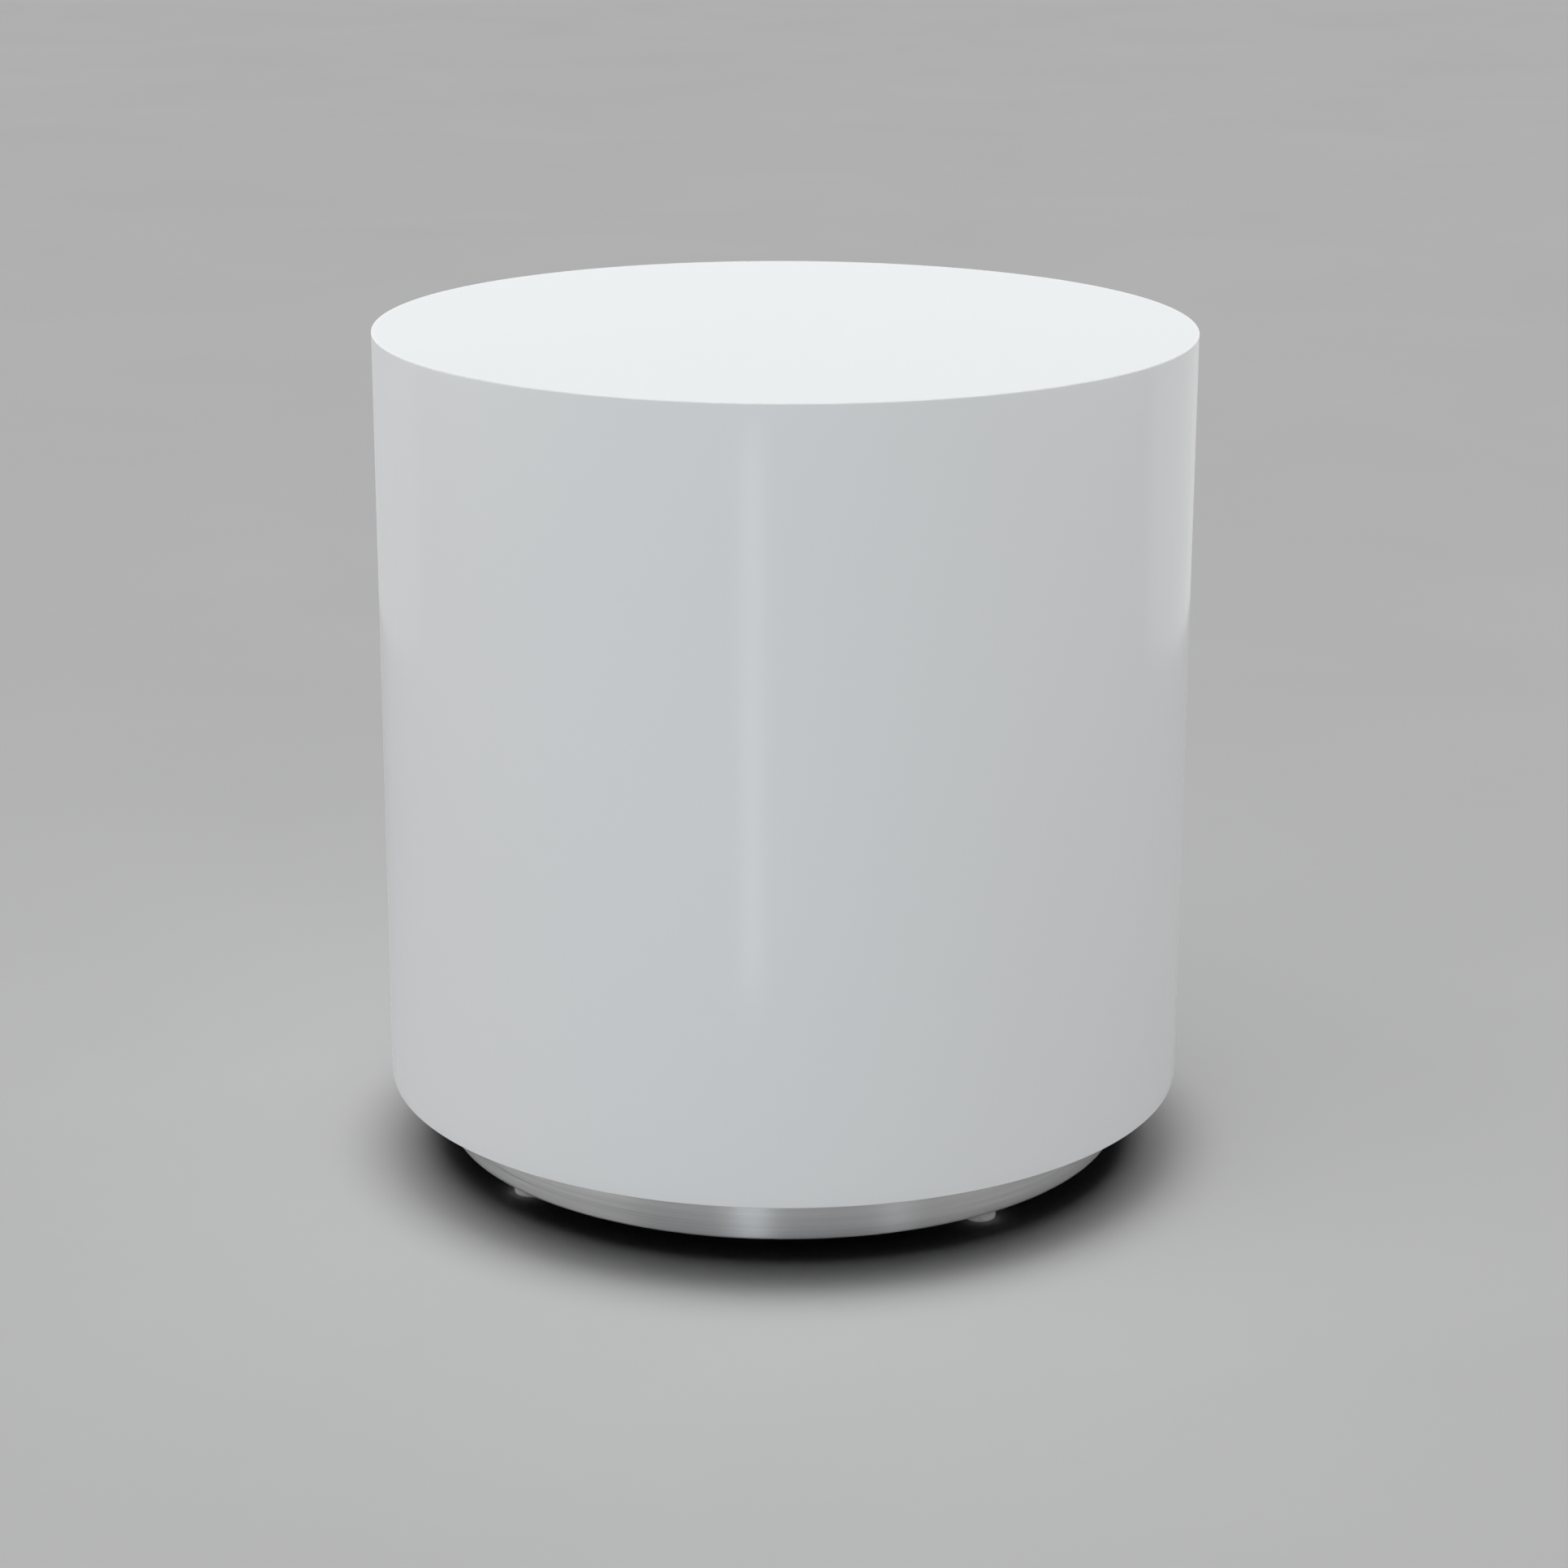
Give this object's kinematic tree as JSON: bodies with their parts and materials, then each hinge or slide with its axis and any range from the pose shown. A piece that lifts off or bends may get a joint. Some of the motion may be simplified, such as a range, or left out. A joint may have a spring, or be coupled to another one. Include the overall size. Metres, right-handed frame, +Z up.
{
  "type": "drum side table",
  "caption": "White laminate drum side table: a closed cylinder with a flat round top on a recessed brushed-steel plinth, standing on levelling glides hidden inside the plinth.",
  "frame": {"origin": "on the floor under the middle of the drum, with the glides at their stored setting", "axes": "+Z up along the drum's axis, -Y to the front, +X to the right seen from the front; the seams are at +Y"},
  "size_m": [0.508, 0.5079, 0.526],
  "materials": {
    "white_laminate": "satin",
    "board": "raw",
    "plywood": "raw",
    "softwood": "raw",
    "brushed_band": "brushed",
    "zinc_steel": "zinc plated",
    "glide_nylon": "moulded"
  },
  "bodies": {
    "table": {"top_laminate": "white_laminate", "wall_laminate": "white_laminate", "top_panel": "board", "upper_former": "board", "middle_former": "board", "bottom_panel": "board", "wall_core": "plywood", "plinth_hoop": "plywood", "plinth_band": "brushed_band", "tee_nuts": "zinc_steel", "top_screws": "zinc_steel", "batten_screws": "zinc_steel", "block_screws": "zinc_steel", "band_screws": "zinc_steel", "batten_1": "softwood", "batten_2": "softwood", "batten_3": "softwood", "batten_4": "softwood", "batten_5": "softwood", "batten_6": "softwood", "glide_block_front_right": "softwood", "glide_block_rear_right": "softwood", "glide_block_rear_left": "softwood", "glide_block_front_left": "softwood"},
    "glide_front_right": {"glide_base_front_right": "glide_nylon"},
    "glide_rear_right": {"glide_base_rear_right": "glide_nylon"},
    "glide_rear_left": {"glide_base_rear_left": "glide_nylon"},
    "glide_front_left": {"glide_base_front_left": "glide_nylon"},
    "stem_front_right": {"glide_stem_front_right": "zinc_steel"},
    "stem_rear_right": {"glide_stem_rear_right": "zinc_steel"},
    "stem_rear_left": {"glide_stem_rear_left": "zinc_steel"},
    "stem_front_left": {"glide_stem_front_left": "zinc_steel"}
  },
  "joints": [
    {"name": "glide_front_right_height", "type": "slide", "parent": "table", "child": "glide_front_right", "axis": [0, 0, -1], "range_m": [-0.005, 0.01]},
    {"name": "stem_front_right_turn", "type": "hinge", "parent": "glide_front_right", "child": "stem_front_right", "pos_m": [0.14064, -0.14064, 0], "axis": [0, 0, -1], "range_deg": [-1800, 3600]},
    {"name": "glide_rear_right_height", "type": "slide", "parent": "table", "child": "glide_rear_right", "axis": [0, 0, -1], "range_m": [-0.005, 0.01]},
    {"name": "stem_rear_right_turn", "type": "hinge", "parent": "glide_rear_right", "child": "stem_rear_right", "pos_m": [0.14064, 0.14064, 0], "axis": [0, 0, -1], "range_deg": [-1800, 3600]},
    {"name": "glide_rear_left_height", "type": "slide", "parent": "table", "child": "glide_rear_left", "axis": [0, 0, -1], "range_m": [-0.005, 0.01]},
    {"name": "stem_rear_left_turn", "type": "hinge", "parent": "glide_rear_left", "child": "stem_rear_left", "pos_m": [-0.14064, 0.14064, 0], "axis": [0, 0, -1], "range_deg": [-1800, 3600]},
    {"name": "glide_front_left_height", "type": "slide", "parent": "table", "child": "glide_front_left", "axis": [0, 0, -1], "range_m": [-0.005, 0.01]},
    {"name": "stem_front_left_turn", "type": "hinge", "parent": "glide_front_left", "child": "stem_front_left", "pos_m": [-0.14064, -0.14064, 0], "axis": [0, 0, -1], "range_deg": [-1800, 3600]}
  ],
  "couplings": [
    {"joint": "stem_front_right_turn", "follows": "glide_front_right_height", "rad_per_m": 6283.2},
    {"joint": "stem_rear_right_turn", "follows": "glide_rear_right_height", "rad_per_m": 6283.2},
    {"joint": "stem_rear_left_turn", "follows": "glide_rear_left_height", "rad_per_m": 6283.2},
    {"joint": "stem_front_left_turn", "follows": "glide_front_left_height", "rad_per_m": 6283.2}
  ]
}
